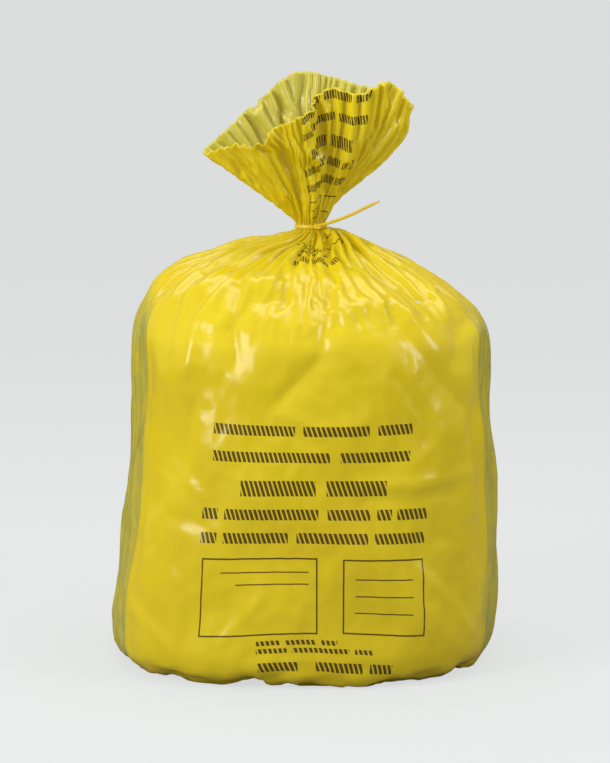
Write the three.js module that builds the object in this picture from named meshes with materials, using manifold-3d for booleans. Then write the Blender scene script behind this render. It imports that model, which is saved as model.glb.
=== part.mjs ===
// A filled waste sack of thin film, gathered at its neck and closed with a cable tie, standing on its base.
// Millimetres, +Z up. The origin is on the floor under the middle of the sack, and the printed front faces -Y.
import * as THREE from "three";
import { mergeVertices } from "three/addons/utils/BufferGeometryUtils.js";
import Module from "manifold-3d";

// Sack body
const bodyWidth = 412; // left to right, just above the floor
const bodyDepth = 394; // front to back, just above the floor
const neckHeight = 470; // floor to the middle of the tie
const neckShiftX = 6; // the neck stands a little right of the body's middle
const neckShiftY = 5; // and a little behind it
const cornerPower = 2.7; // of the filled section: 2 is an ellipse, and more is squarer

// Gathered film
const neckRadius = 15.5;
const neckPassage = 3; // radius of the way left open down the middle of the gathers
const pleatCount = 12;
const shoulderPleatDepth = 2.4;
const neckPleatDepth = 0.6;

// Film wall and fill
const filmWall = 1.5; // stands for film of 0.05 mm
const fillClearance = 0.4; // between the film and what it holds
const fillHeight = 412; // floor to the top of the fill

// Flare above the tie
const flareHeight = 166; // tie to the highest point of the rim
const flareReachLeft = 115; // neck to the tip of the left lobe
const flareReachRight = 110;
const flareReachFront = 62;
const flareReachBack = 46;
const flareBulge = 0.2; // how much fuller the right lobe is than an even flare, as a share of its reach

// Cable tie
const strapWidth = 3.6;
const strapThickness = 1.2;
const strapClearance = 0.35; // between the strap and the film that it closes
const headLength = 6;
const headDepth = 5;
const headHeight = 5.6;
const headAngle = -68; // degrees round the neck: -90 is the front, 0 the right
const tailLength = 69; // from the head to the tail's tip
const tailRise = 22; // how far the tip stands above the head

// Fineness of the faceted surface
const ringPoints = 60;
const bodyRows = 25;
const flareRows = 9;
const tailSteps = 8;

// The body's outline from the floor to the neck. Each row gives the height as a share of the neck's, then the reach
// to the left, right, front and back as shares of half the width or depth.
const bodyOutline = [
  [0.0, 0.9, 0.88, 0.87, 0.87],
  [0.022, 0.965, 0.93, 0.945, 0.94],
  [0.05, 1.0, 0.975, 0.985, 0.985],
  [0.1, 1.0, 0.993, 1.0, 1.0],
  [0.25, 0.968, 0.993, 0.995, 0.99],
  [0.43, 0.918, 0.985, 0.97, 0.97],
  [0.6, 0.897, 0.972, 0.945, 0.945],
  [0.735, 0.893, 0.96, 0.92, 0.915],
  [0.785, 0.885, 0.935, 0.88, 0.88],
  [0.83, 0.85, 0.84, 0.81, 0.81],
  [0.875, 0.815, 0.7, 0.69, 0.7],
  [0.915, 0.69, 0.53, 0.53, 0.55],
  [0.945, 0.47, 0.37, 0.36, 0.4],
  [0.968, 0.2, 0.25, 0.22, 0.24],
  [0.99, 0.088, 0.17, 0.12, 0.12],
];

// The flare's rim from the tip of the left lobe round by the front, the right and the back. Each row gives the place
// beside the neck as shares of the flare's reaches, and the height above the tie as a share of its height.
const rimOutline = [
  [-1.0, -0.1, 0.5],
  [-0.8, -0.55, 0.52],
  [-0.6, -0.84, 0.54],
  [-0.4, -0.95, 0.61],
  [-0.2, -0.9, 0.7],
  [-0.03, -0.74, 0.8],
  [0.2, -0.64, 0.9],
  [0.45, -0.5, 0.88],
  [0.78, -0.3, 0.94],
  [1.0, 0.0, 0.79],
  [0.84, 0.4, 0.87],
  [0.5, 0.8, 0.91],
  [0.2, 0.97, 0.97],
  [-0.14, 1.0, 1.0],
  [-0.46, 0.87, 0.84],
  [-0.76, 0.5, 0.66],
];

// The main folds in the body's film as they show from the front, and from the back: how wide each is, how far it
// stands out (a groove is below nought), then places along it, across and up the view.
const viewTilt = 8; // degrees that the views look down
const frontFolds = [
  [11, -3.5, [[-47, 426], [-116, 419], [-154, 395]]],
  [11, 4.0, [[-32, 401], [-75, 400], [-98, 380], [-116, 349], [-119, 315]]],
  [13, -4.0, [[-22, 384], [-60, 379], [-77, 351], [-72, 318]]],
  [9, 2.5, [[-88, 406], [-123, 389], [-133, 351], [-136, 329]]],
  [13, -4.0, [[24, 384], [22, 362], [15, 319], [-5, 298], [-28, 274]]],
  [11, 4.0, [[44, 450], [66, 439], [111, 415], [134, 394], [149, 368]]],
  [11, -4.0, [[50, 426], [94, 401], [127, 384]]],
  [11, 4.0, [[25, 366], [65, 377], [92, 374], [106, 366]]],
  [11, -3.0, [[182, 379], [162, 348], [160, 318]]],
  [20, -3.5, [[92, 357], [127, 318], [163, 273]]],
  [22, 3.0, [[-124, 305], [-122, 303]]],
];
const backFolds = [
  [12, 4.0, [[-40, 431], [-110, 406], [-150, 366]]],
  [13, -4.0, [[20, 386], [15, 326], [-10, 286]]],
  [12, 4.0, [[60, 436], [120, 401], [150, 356]]],
  [13, -3.5, [[-60, 386], [-70, 336], [-50, 286]]],
  [16, -3.5, [[80, 376], [110, 326], [150, 276]]],
  [22, 3.0, [[-140, 316], [-138, 314]]],
];

// Broad swells of the filled body: depth, waves round it, waves from base to neck, and where they begin in radians.
const swells = [
  [1.3, 2, 0.6, 0.4],
  [1.2, 3, -1.1, 2.1],
  [1.1, 5, 1.7, 4.0],
  [0.9, 7, -2.3, 1.0],
  [0.8, 8, 3.1, 5.2],
  [0.7, 11, -3.6, 3.3],
  [0.6, 11, 4.4, 0.7],
];

// Crisp folds of the flare's front, in the same form as the body's.
const flareCreases = [
  [7, 7.0, [[2, 606], [-1, 573], [4, 542], [15, 531], [14, 520], [10, 507], [8, 486]]],
  [6, -3.0, [[14, 600], [16, 560], [27, 530], [22, 505]]],
  [6, 3.5, [[-67, 560], [-33, 553], [12, 536]]],
  [7, -3.5, [[-70, 545], [-30, 540], [-8, 524], [-4, 500]]],
  [6, 3.0, [[70, 606], [62, 570], [44, 540]]],
];

// The folds down the flare: angle round the neck and width in degrees, and how far each stands out at the rim.
const flareFolds = [
  [15, 9, -4.0],
  [40, 12, 4.5],
  [72, 9, -4.0],
  [100, 12, 4.0],
  [135, 10, -4.0],
  [165, 9, 4.0],
  [205, 9, -4.0],
  [232, 11, 5.0],
  [258, 9, -5.0],
  [283, 11, 5.0],
  [312, 9, -4.5],
  [340, 10, 4.0],
];

const filmYellow = new THREE.MeshStandardMaterial({ color: 0xdcc01c, roughness: 0.3, metalness: 0 });
const fillGrey = new THREE.MeshStandardMaterial({ color: 0xd8d8d0, roughness: 0.9, metalness: 0 });
const tieYellow = new THREE.MeshStandardMaterial({ color: 0xd2b00a, roughness: 0.45, metalness: 0 });

const lerp = THREE.MathUtils.lerp;
const smoothstep = THREE.MathUtils.smoothstep;

const wasm = await Module();
wasm.setup();

// The angle of one point of a ring: from the left round by the front.
const ringAngle = (index) => Math.PI + (index / ringPoints) * 2 * Math.PI;

// Even shares between two ends.
const shares = (count, from, to) => Array.from({ length: count }, (_, k) => lerp(from, to, k / (count - 1)));

// One column of the body's outline as a smooth curve of reach and height.
function sideCurve(column, halfSize) {
  return new THREE.SplineCurve(
    bodyOutline.map((row) => new THREE.Vector2(row[column] * halfSize, row[0] * neckHeight)),
  );
}

const leftCurve = sideCurve(1, bodyWidth / 2);
const rightCurve = sideCurve(2, bodyWidth / 2);
const frontCurve = sideCurve(3, bodyDepth / 2);
const backCurve = sideCurve(4, bodyDepth / 2);

// One plain ring of the body at a share of the way along its outline.
function bodyRing(share) {
  const left = leftCurve.getPoint(share);
  const right = rightCurve.getPoint(share);
  const front = frontCurve.getPoint(share);
  const back = backCurve.getPoint(share);
  const gathered = smoothstep(left.y / neckHeight, 0.7, 1);
  const exponent = 2 / lerp(cornerPower, 2, gathered);
  return Array.from({ length: ringPoints }, (_, i) => {
    const c = Math.cos(ringAngle(i));
    const s = Math.sin(ringAngle(i));
    const x = Math.sign(c) * Math.abs(c) ** exponent * (c < 0 ? left.x : right.x);
    const y = Math.sign(s) * Math.abs(s) ** exponent * (s < 0 ? front.x : back.x);
    return new THREE.Vector3(x + neckShiftX * gathered, y + neckShiftY * gathered, left.y);
  });
}

// A round ring about the neck's axis.
function neckRing(radius, height, pleatDepth) {
  return Array.from({ length: ringPoints }, (_, i) => {
    const angle = ringAngle(i);
    const r = radius + pleatDepth * Math.cos(pleatCount * angle);
    return new THREE.Vector3(neckShiftX + r * Math.cos(angle), neckShiftY + r * Math.sin(angle), height);
  });
}

// Rings moved along the surface's own normals. offset(k, i) is the distance for a point of ring k.
function offsetRings(rings, offset) {
  const along = new THREE.Vector3();
  const around = new THREE.Vector3();
  const normal = new THREE.Vector3();
  return rings.map((ring, k) =>
    ring.map((point, i) => {
      along.subVectors(rings[Math.min(k + 1, rings.length - 1)][i], rings[Math.max(k - 1, 0)][i]);
      around.subVectors(ring[(i + 1) % ringPoints], ring[(i + ringPoints - 1) % ringPoints]);
      normal.crossVectors(around, along).normalize();
      return point.clone().addScaledVector(normal, offset(k, i));
    }),
  );
}

// A closed solid through rings with the same number of points, closed by a fan at its two ends. Its quads are split
// the same way on the rising and the falling side of a wall, so that the wall keeps its thickness.
function loft(rings) {
  const count = rings[0].length;
  const ends = [rings[0], rings[rings.length - 1]];
  const middles = ends.map((ring) =>
    ring.reduce((sum, point) => sum.add(point), new THREE.Vector3()).divideScalar(count),
  );
  const positions = [...rings.flat(), ...middles].flatMap((point) => point.toArray());
  const first = rings.length * count;
  const last = first + 1;
  const indices = [];
  for (let i = 0; i < count; i++) {
    const next = (i + 1) % count;
    indices.push(first, next, i, last, first - count + i, first - count + next);
    for (let k = 0; k + 1 < rings.length; k++) {
      const a = k * count + i;
      const b = k * count + next;
      const falling = rings[k + 1][i].z < rings[k][i].z;
      if (falling) indices.push(a, b, a + count, b, b + count, a + count);
      else indices.push(a, b, b + count, a, b + count, a + count);
    }
  }
  const geometry = new THREE.BufferGeometry();
  geometry.setAttribute("position", new THREE.Float32BufferAttribute(positions, 3));
  geometry.setIndex(indices);
  return geometry;
}

// The depth of the radial pleats at a height: they begin on the shoulder and tighten at the neck.
function pleatAt(height, i) {
  const share = height / neckHeight;
  const depth = smoothstep(share, 0.88, 0.95) * lerp(shoulderPleatDepth, neckPleatDepth, smoothstep(share, 0.94, 1));
  return depth * Math.cos(pleatCount * ringAngle(i));
}

// How far a fold reaches out at a place that lies some distance from its middle.
const foldHeight = (height, distance, width) => height * Math.exp(-((distance / width) ** 2));

// The depth of a view's folds at a point. Facing is -1 for the front and 1 for the back.
function foldAt(point, folds, facing) {
  const tilt = THREE.MathUtils.degToRad(viewTilt);
  const up = point.z * Math.cos(tilt) - facing * point.y * Math.sin(tilt);
  const place = new THREE.Vector3(-facing * point.x, up, 0);
  const line = new THREE.Line3();
  const nearest = new THREE.Vector3();
  let depth = 0;
  for (const [width, height, corners] of folds) {
    let distance = Infinity;
    for (let k = 0; k + 1 < corners.length; k++) {
      line.start.set(...corners[k], 0);
      line.end.set(...corners[k + 1], 0);
      distance = Math.min(distance, line.closestPointToPoint(place, true, nearest).distanceTo(place));
    }
    depth += foldHeight(height, distance, width);
  }
  return depth * smoothstep(facing * point.y, -20, 20);
}

// The depth of the body's swells, at an angle round it and a share of the neck's height.
function swellAt(angle, share) {
  const depth = swells.reduce(
    (sum, [height, wavesRound, wavesUp, phase]) =>
      sum + height * Math.cos(wavesRound * angle + wavesUp * 2 * Math.PI * share + phase),
    0,
  );
  return depth * smoothstep(share, 0.02, 0.15) * (1 - smoothstep(share, 0.8, 0.95));
}

// The depth of the flare's folds at a point, at an angle round the neck and a share of the way to the rim.
function flareFoldAt(point, angle, share) {
  const along = flareFolds.reduce((depth, [middle, width, height]) => {
    const away = THREE.MathUtils.euclideanModulo(THREE.MathUtils.radToDeg(angle) - middle + 180, 360) - 180;
    return depth + foldHeight(height, away, width);
  }, 0);
  const crisp = foldAt(point, flareCreases, -1) * smoothstep(-Math.sin(angle), 0, 0.4);
  return share * along + smoothstep(share, 0.05, 0.3) * crisp;
}

// The body's rings, folded and pleated, and inset by a distance.
function bodyRings(inset) {
  const plain = shares(bodyRows, 0, 1).map(bodyRing);
  return offsetRings(plain, (k, i) => {
    const point = plain[k][i];
    const folds = foldAt(point, frontFolds, -1) + foldAt(point, backFolds, 1);
    return folds + swellAt(ringAngle(i), point.z / neckHeight) + pleatAt(point.z, i) - inset;
  });
}

const rimCurve = new THREE.CatmullRomCurve3(
  rimOutline.map(([x, y, z]) => {
    const reachX = x < 0 ? flareReachLeft : flareReachRight;
    const reachY = y < 0 ? flareReachFront : flareReachBack;
    return new THREE.Vector3(neckShiftX + x * reachX, neckShiftY + y * reachY, neckHeight + z * flareHeight);
  }),
  true,
);

// One plain ring of the flare, which leaves the tie upwards and opens towards the rim.
function flareRing(share) {
  const foot = neckRing(neckRadius, neckHeight + strapWidth, neckPleatDepth);
  const bulge = flareBulge * smoothstep(share, 0.12, 0.6) * (1 - smoothstep(share, 0.72, 1));
  return foot.map((point, i) => {
    const rim = rimCurve.getPoint(i / ringPoints);
    const opening = share ** 1.15 + bulge * smoothstep(Math.cos(ringAngle(i)), 0.1, 0.9);
    return new THREE.Vector3(
      lerp(point.x, rim.x, opening),
      lerp(point.y, rim.y, opening),
      lerp(point.z, rim.z, share),
    );
  });
}

// The film: up the outside from the base to the rim, over it, and down the inside to the base.
function makeFilm() {
  const strapBottom = neckHeight - strapWidth / 2;
  const strapTop = neckHeight + strapWidth / 2;
  const outside = bodyRings(0);
  const flareShares = shares(flareRows, 0.06, 1);
  const plainFlare = flareShares.map(flareRing);
  const flareAt = (inset) =>
    offsetRings(plainFlare, (k, i) => flareFoldAt(plainFlare[k][i], ringAngle(i), flareShares[k]) - inset);
  const inside = bodyRings(filmWall).slice(0, -1);
  for (const point of inside[0]) point.z = filmWall;
  return loft([
    ...outside,
    neckRing(neckRadius, strapBottom, neckPleatDepth),
    neckRing(neckRadius, strapTop, neckPleatDepth),
    ...flareAt(0),
    ...flareAt(filmWall).reverse(),
    neckRing(neckPassage, strapTop, 0),
    neckRing(neckPassage, strapBottom, 0),
    ...inside.reverse(),
  ]);
}

// A closed mesh as a solid that can be joined, and back.
function toSolid(geometry) {
  geometry.deleteAttribute("normal");
  geometry.deleteAttribute("uv");
  const merged = mergeVertices(geometry, 1e-4);
  return new wasm.Manifold(
    new wasm.Mesh({
      numProp: 3,
      vertProperties: new Float32Array(merged.attributes.position.array),
      triVerts: new Uint32Array(merged.index.array),
    }),
  );
}

function toGeometry(solid) {
  const mesh = solid.getMesh();
  const geometry = new THREE.BufferGeometry();
  geometry.setAttribute("position", new THREE.BufferAttribute(mesh.vertProperties, 3));
  geometry.setIndex(new THREE.BufferAttribute(mesh.triVerts, 1));
  return geometry;
}

// What the sack holds, as one plain body with a level top under the shoulder.
function makeFill() {
  const inset = filmWall + fillClearance;
  const level = new THREE.BoxGeometry(2 * bodyWidth, 2 * bodyDepth, fillHeight - inset);
  level.translate(0, 0, (fillHeight + inset) / 2);
  return toGeometry(toSolid(loft(bodyRings(inset))).intersect(toSolid(level)));
}

// The tie, moulded in one piece: a closed loop round the neck, the locking head and the free tail.
function makeTie() {
  const inner = neckRadius + neckPleatDepth + strapClearance;
  const outer = inner + strapThickness;
  const half = strapWidth / 2;
  const section = [
    [inner, -half],
    [outer, -half],
    [outer, half],
    [inner, half],
    [inner, -half],
  ];
  const loop = new THREE.LatheGeometry(section.map(([x, y]) => new THREE.Vector2(x, y)), ringPoints);
  loop.rotateX(Math.PI / 2);
  loop.translate(neckShiftX, neckShiftY, neckHeight);

  const angle = THREE.MathUtils.degToRad(headAngle);
  const outward = new THREE.Vector3(Math.cos(angle), Math.sin(angle), 0);
  const onward = new THREE.Vector3(-outward.y, outward.x, 0);
  const up = new THREE.Vector3(0, 0, 1);
  const seat = new THREE.Vector3(neckShiftX, neckShiftY, neckHeight).addScaledVector(outward, outer);
  const head = new THREE.BoxGeometry(headDepth, headLength, headHeight);
  head.rotateZ(angle);
  const headMiddle = seat.clone().addScaledVector(outward, (headDepth - strapThickness) / 2);
  headMiddle.addScaledVector(up, (headHeight - strapWidth) / 2);
  head.translate(...headMiddle.toArray());

  const rings = shares(tailSteps + 1, 0, 1).map((share) => {
    const middle = headMiddle.clone().addScaledVector(onward, share * (headLength / 2 + tailLength));
    middle.addScaledVector(up, tailRise * share ** 1.3);
    const halfThickness = strapThickness / 2;
    return [
      [-halfThickness, -half],
      [-halfThickness, half],
      [halfThickness, half],
      [halfThickness, -half],
    ].map(([across, rise]) => middle.clone().addScaledVector(outward, across).addScaledVector(up, rise));
  });
  return toGeometry(toSolid(loop).add(toSolid(head)).add(toSolid(loft(rings))));
}

const group = new THREE.Group();
const pieces = [
  ["sack_film", makeFilm(), filmYellow],
  ["waste_fill", makeFill(), fillGrey],
  ["cable_tie", makeTie(), tieYellow],
];
for (const [name, geometry, material] of pieces) {
  const mesh = new THREE.Mesh(geometry, material);
  mesh.name = name;
  group.add(mesh);
}

// The sack's box stands with its middle over the origin.
const middle = new THREE.Box3().setFromObject(group).getCenter(new THREE.Vector3());
group.position.set(-middle.x, -middle.y, 0);

export default group;
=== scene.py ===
import math

import bpy
import bmesh
import numpy as np
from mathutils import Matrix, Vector


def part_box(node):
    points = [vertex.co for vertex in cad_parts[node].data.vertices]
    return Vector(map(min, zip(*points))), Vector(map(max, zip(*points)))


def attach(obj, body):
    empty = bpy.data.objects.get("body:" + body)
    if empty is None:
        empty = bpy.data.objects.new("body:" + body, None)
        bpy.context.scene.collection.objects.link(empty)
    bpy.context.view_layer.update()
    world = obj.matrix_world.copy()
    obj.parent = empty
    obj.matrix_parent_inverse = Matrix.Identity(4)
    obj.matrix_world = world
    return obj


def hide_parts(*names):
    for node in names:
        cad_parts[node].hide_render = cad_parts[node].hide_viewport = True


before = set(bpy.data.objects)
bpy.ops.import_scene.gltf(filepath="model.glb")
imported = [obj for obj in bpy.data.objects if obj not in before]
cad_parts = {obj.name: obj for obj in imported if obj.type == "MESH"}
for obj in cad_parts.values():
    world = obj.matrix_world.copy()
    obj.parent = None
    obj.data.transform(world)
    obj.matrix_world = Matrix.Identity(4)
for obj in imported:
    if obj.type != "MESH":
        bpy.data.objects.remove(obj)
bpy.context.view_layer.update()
scene = bpy.context.scene
print("stage: frame loaded")

mm = 0.001

# Film: its grid and sizes in mm. Columns run round the bag from the middle of the back, rows from the base's
# middle up.
film = {
    "columns": 280,
    "flatGirth": 1422.0,  # round the laid-flat tube, gussets open
    "flatLength": 990.0,
    "neckLength": 800.0,  # base's middle to the tie, along the film
    "wall": 0.45,
    "seed": 11,
    "passes": 260,
}

# The bag's box and neck, from the frame.
lowCorner, highCorner = (np.array(corner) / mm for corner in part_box("sack_film"))
tieLow, tieHigh = (np.array(corner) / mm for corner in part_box("cable_tie"))
body = {
    "halfWidth": (highCorner[0] - lowCorner[0]) / 2 - 0.8,
    "halfDepth": (highCorner[1] - lowCorner[1]) / 2 - 0.5,
    "neckX": 6.3,
    "neckY": 5.0,
    "neckRadius": 15.5,
    "neckHeight": tieLow[2] + 1.8,
    "cornerPower": 2.7,
}

# Height as a share of the neck's, then reach left, right, front and back as shares of half the width or
# depth.
bodyOutline = [
    (0.0, 0.9, 0.88, 0.87, 0.87),
    (0.022, 0.965, 0.93, 0.945, 0.94),
    (0.05, 1.008, 0.975, 0.985, 0.985),
    (0.1, 1.01, 0.993, 1.0, 1.0),
    (0.25, 0.968, 0.993, 0.995, 0.99),
    (0.43, 0.918, 0.985, 0.97, 0.97),
    (0.6, 0.897, 0.972, 0.945, 0.945),
    (0.735, 0.893, 0.96, 0.92, 0.915),
    (0.785, 0.885, 0.935, 0.88, 0.88),
    (0.83, 0.85, 0.84, 0.81, 0.81),
    (0.875, 0.815, 0.7, 0.69, 0.7),
    (0.915, 0.69, 0.53, 0.53, 0.55),
    (0.945, 0.47, 0.37, 0.36, 0.4),
    (0.968, 0.2, 0.25, 0.22, 0.24),
    (0.99, 0.088, 0.17, 0.12, 0.12),
]

# The flare's rim from the left tip round by the front: shares of its reaches beside the neck and of its
# height.
flare = {"left": 115.0, "right": 110.0, "front": 62.0, "back": 46.0, "height": 166.0, "bulge": 0.2}
rimOutline = [
    (-1.0, -0.1, 0.5),
    (-0.8, -0.55, 0.52),
    (-0.6, -0.84, 0.54),
    (-0.4, -0.95, 0.61),
    (-0.2, -0.9, 0.7),
    (-0.03, -0.74, 0.8),
    (0.2, -0.64, 0.9),
    (0.45, -0.5, 0.88),
    (0.78, -0.3, 0.94),
    (1.0, 0.0, 0.79),
    (0.84, 0.4, 0.87),
    (0.5, 0.8, 0.91),
    (0.2, 0.97, 0.97),
    (-0.14, 1.0, 1.0),
    (-0.46, 0.87, 0.84),
    (-0.76, 0.5, 0.66),
]


# Main folds as seen from the front, and from the back: width and height, a groove's below nought, then places
# across and up the view.
viewTilt = 8.0
frontFolds = [
    (11, -3.5, [(-47, 426), (-116, 419), (-154, 395)]),
    (11, 4.0, [(-32, 401), (-75, 400), (-98, 380), (-116, 349), (-119, 315)]),
    (13, -4.0, [(-22, 384), (-60, 379), (-77, 351), (-72, 318)]),
    (9, 2.5, [(-88, 406), (-123, 389), (-133, 351), (-136, 329)]),
    (13, -4.0, [(24, 384), (22, 362), (15, 319), (-5, 298), (-28, 274)]),
    (11, 4.0, [(44, 450), (66, 439), (111, 415), (134, 394), (149, 368)]),
    (11, -4.0, [(50, 426), (94, 401), (127, 384)]),
    (11, 4.0, [(25, 366), (65, 377), (92, 374), (106, 366)]),
    (11, -3.0, [(182, 379), (162, 348), (160, 318)]),
    (20, -3.5, [(92, 357), (127, 318), (163, 273)]),
    (22, 3.0, [(-124, 305), (-122, 303)]),
]
backFolds = [
    (12, 4.0, [(-40, 431), (-110, 406), (-150, 366)]),
    (13, -4.0, [(20, 386), (15, 326), (-10, 286)]),
    (12, 4.0, [(60, 436), (120, 401), (150, 356)]),
    (13, -3.5, [(-60, 386), (-70, 336), (-50, 286)]),
    (16, -3.5, [(80, 376), (110, 326), (150, 276)]),
    (22, 3.0, [(-140, 316), (-138, 314)]),
]

# Small creases of the front, in the same form.
fineCreases = [
    (7, 1.8, [(-125, 194), (-109, 176)]),
    (7, -1.6, [(-139, 154), (-109, 147)]),
    (7, 1.8, [(59, 186), (128, 190), (180, 202)]),
    (7, -1.6, [(66, 174), (110, 172), (150, 182)]),
    (8, 1.8, [(-44, 72), (-86, 25)]),
    (8, -1.6, [(-115, 274), (-132, 197)]),
    (9, 1.6, [(-160, 270), (-168, 170), (-172, 90)]),
    (9, -1.6, [(178, 270), (186, 180), (188, 98)]),
    (8, 1.8, [(-181, 54), (-143, 14)]),
    (8, 1.6, [(120, 96), (158, 60), (176, 30)]),
    (8, -1.8, [(96, 300), (124, 262), (128, 236)]),
    (8, 1.6, [(-20, 262), (10, 244), (46, 250)]),
]

# Broad swells of the filled body: depth, waves round it, waves from base to neck, and where they begin in
# radians.
swells = [
    (1.3, 2, 0.6, 0.4), (1.2, 3, -1.1, 2.1), (1.1, 5, 1.7, 4.0), (0.9, 7, -2.3, 1.0),
    (0.8, 8, 3.1, 5.2), (0.7, 11, -3.6, 3.3), (0.6, 11, 4.4, 0.7),
]

# Crisp folds of the flare's front, in the same form as the body's.
flareCreases = [
    (7, 7.0, [(2, 606), (-1, 573), (4, 542), (15, 531), (14, 520), (10, 507), (8, 486)]),
    (6, -3.0, [(14, 600), (16, 560), (27, 530), (22, 505)]),
    (6, 3.5, [(-67, 560), (-33, 553), (12, 536)]),
    (7, -3.5, [(-70, 545), (-30, 540), (-8, 524), (-4, 500)]),
    (5, 2.5, [(-20, 590), (-36, 566), (-50, 556)]),
    (6, 3.0, [(70, 606), (62, 570), (44, 540)]),
    (6, -3.0, [(98, 606), (88, 588), (92, 570)]),
    (6, 2.5, [(-86, 545), (-52, 520), (-22, 496)]),
]

# Folds down the flare: angle round the neck, width in degrees, and depth at the rim.
flareFolds = [
    (15, 9, -4.0), (40, 12, 4.5), (72, 9, -4.0), (100, 12, 4.0), (135, 10, -4.0), (165, 9, 4.0),
    (205, 9, -4.0), (232, 11, 5.0), (258, 9, -5.0), (283, 11, 5.0), (312, 9, -4.5), (340, 10, 4.0),
]


def smoothStep(value, low, high):
    t = np.clip((np.asarray(value, float) - low) / (high - low), 0, 1)
    return t * t * (3 - 2 * t)


def catmullRom(points, at, closed):
    points = np.asarray(points, float)
    count = len(points)
    span = count if closed else count - 1
    place = np.asarray(at, float) * span
    start = np.minimum(np.floor(place).astype(int), span - 1)
    t = (place - start)[:, None]

    def pick(index):
        return points[index % count] if closed else points[np.clip(index, 0, count - 1)]

    a, b, c, d = (pick(start + k) for k in (-1, 0, 1, 2))
    return 0.5 * (2 * b + (c - a) * t + (2 * a - 5 * b + 4 * c - d) * t**2 + (3 * b - a - 3 * c + d) * t**3)


def columnAngles():
    # Angles that space the columns evenly round the filled section, from the back round by the left.
    dense = np.linspace(0, 2 * math.pi, 7201) + math.pi / 2
    power = 2 / body["cornerPower"]
    x = np.sign(np.cos(dense)) * np.abs(np.cos(dense)) ** power * body["halfWidth"]
    y = np.sign(np.sin(dense)) * np.abs(np.sin(dense)) ** power * body["halfDepth"]
    walked = np.concatenate([[0], np.cumsum(np.hypot(np.diff(x), np.diff(y)))])
    return np.interp(np.arange(film["columns"]) / film["columns"] * walked[-1], walked, dense)


def targetRings(angles):
    # Smooth rings from the base's middle to the neck, then from the neck to the rim.
    cosine, sine = np.cos(angles), np.sin(angles)
    lower = []
    for share in np.linspace(0.02, 1, 14)[:-1]:
        first = bodyOutline[0]
        lower.append(bodyRing(cosine, sine, (0.0, *(share * reach for reach in first[1:]))))
    for row in catmullRom(bodyOutline, np.linspace(0, 1, 120), False):
        lower.append(bodyRing(cosine, sine, row))
    neck = np.stack([
        body["neckX"] + body["neckRadius"] * cosine,
        body["neckY"] + body["neckRadius"] * sine,
        np.full_like(cosine, body["neckHeight"] - 1.8),
    ], axis=1)
    lower.append(neck)
    upper = [neck + (0, 0, 3.6)]
    rimAt = (angles / (2 * math.pi) - 0.5) % 1
    rimShares = catmullRom(rimOutline, rimAt, True)
    rim = np.stack([
        body["neckX"] + rimShares[:, 0] * np.where(rimShares[:, 0] < 0, flare["left"], flare["right"]),
        body["neckY"] + rimShares[:, 1] * np.where(rimShares[:, 1] < 0, flare["front"], flare["back"]),
        body["neckHeight"] + rimShares[:, 2] * flare["height"],
    ], axis=1)
    foot = neck + (0, 0, 5.4)
    rightward = smoothStep(cosine, 0.1, 0.9)
    for share in np.linspace(0.04, 1, 60):
        bulge = flare["bulge"] * smoothStep(share, 0.12, 0.6) * (1 - smoothStep(share, 0.72, 1))
        opening = (share**1.15 + bulge * rightward)[:, None]
        upper.append(foot + (rim - foot) * np.hstack([opening, opening, np.full_like(opening, share)]))
    return np.array(lower), np.array(upper)


def bodyRing(cosine, sine, row):
    height = row[0] * body["neckHeight"]
    gathered = smoothStep(row[0], 0.7, 1)
    exponent = 2 / (body["cornerPower"] + (2 - body["cornerPower"]) * gathered)
    reachX = np.where(cosine < 0, row[1], row[2]) * body["halfWidth"]
    reachY = np.where(sine < 0, row[3], row[4]) * body["halfDepth"]
    x = np.sign(cosine) * np.abs(cosine) ** exponent * reachX + body["neckX"] * gathered
    y = np.sign(sine) * np.abs(sine) ** exponent * reachY + body["neckY"] * gathered
    return np.stack([x, y, np.full_like(x, height)], axis=1)


def alongColumns(rings, shares):
    # Points at even shares of each column's own length.
    steps = np.linalg.norm(np.diff(rings, axis=0), axis=2)
    walked = np.concatenate([np.zeros((1, rings.shape[1])), np.cumsum(steps, axis=0)])
    walked /= walked[-1]
    out = np.empty((len(shares), rings.shape[1], 3))
    for i in range(rings.shape[1]):
        for axis in range(3):
            out[:, i, axis] = np.interp(shares, walked[:, i], rings[:, i, axis])
    return out


def rowLengths():
    # Film lengths from the base's middle, closer together where the film creases most.
    parts = [(6, 185, 13), (190, 240, 9), (246, 590, 56), (595, 798, 47), (803, 990, 47)]
    return np.concatenate([np.linspace(low, high, count) for low, high, count in parts])


def awayFrom(across, up, line):
    # Distance of places in a view from a line through points.
    nearest = np.full(across.shape, 1e6)
    for (x, z), (nextX, nextZ) in zip(line, line[1:]):
        stepX, stepZ = nextX - x, nextZ - z
        t = np.clip(((across - x) * stepX + (up - z) * stepZ) / (stepX**2 + stepZ**2), 0, 1)
        nearest = np.minimum(nearest, np.hypot(across - x - t * stepX, up - z - t * stepZ))
    return nearest


def foldDepth(grid, folds, facing, crest):
    # Height of a view's folds over the film: facing is -1 for the front and 1 for the back, and the crest is
    # the share of a fold's height that its narrow top adds.
    tiltAngle = math.radians(viewTilt)
    across = -facing * grid[..., 0]
    up = grid[..., 2] * math.cos(tiltAngle) - facing * grid[..., 1] * math.sin(tiltAngle)
    depth = 0
    for width, height, line in folds:
        away = awayFrom(across, up, line) / width
        depth = depth + height * (0.75 * np.exp(-(away**2)) + crest * np.exp(-away / 0.25))
    return depth * smoothStep(facing * grid[..., 1], -20, 20)


def swellDepth(angles, share):
    total = 0
    for depth, wavesRound, wavesUp, phase in swells:
        total = total + depth * np.cos(wavesRound * angles[None, :] + wavesUp * 2 * math.pi * share + phase)
    return total * smoothStep(share, 0.02, 0.15) * (1 - smoothStep(share, 0.8, 0.95))


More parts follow.
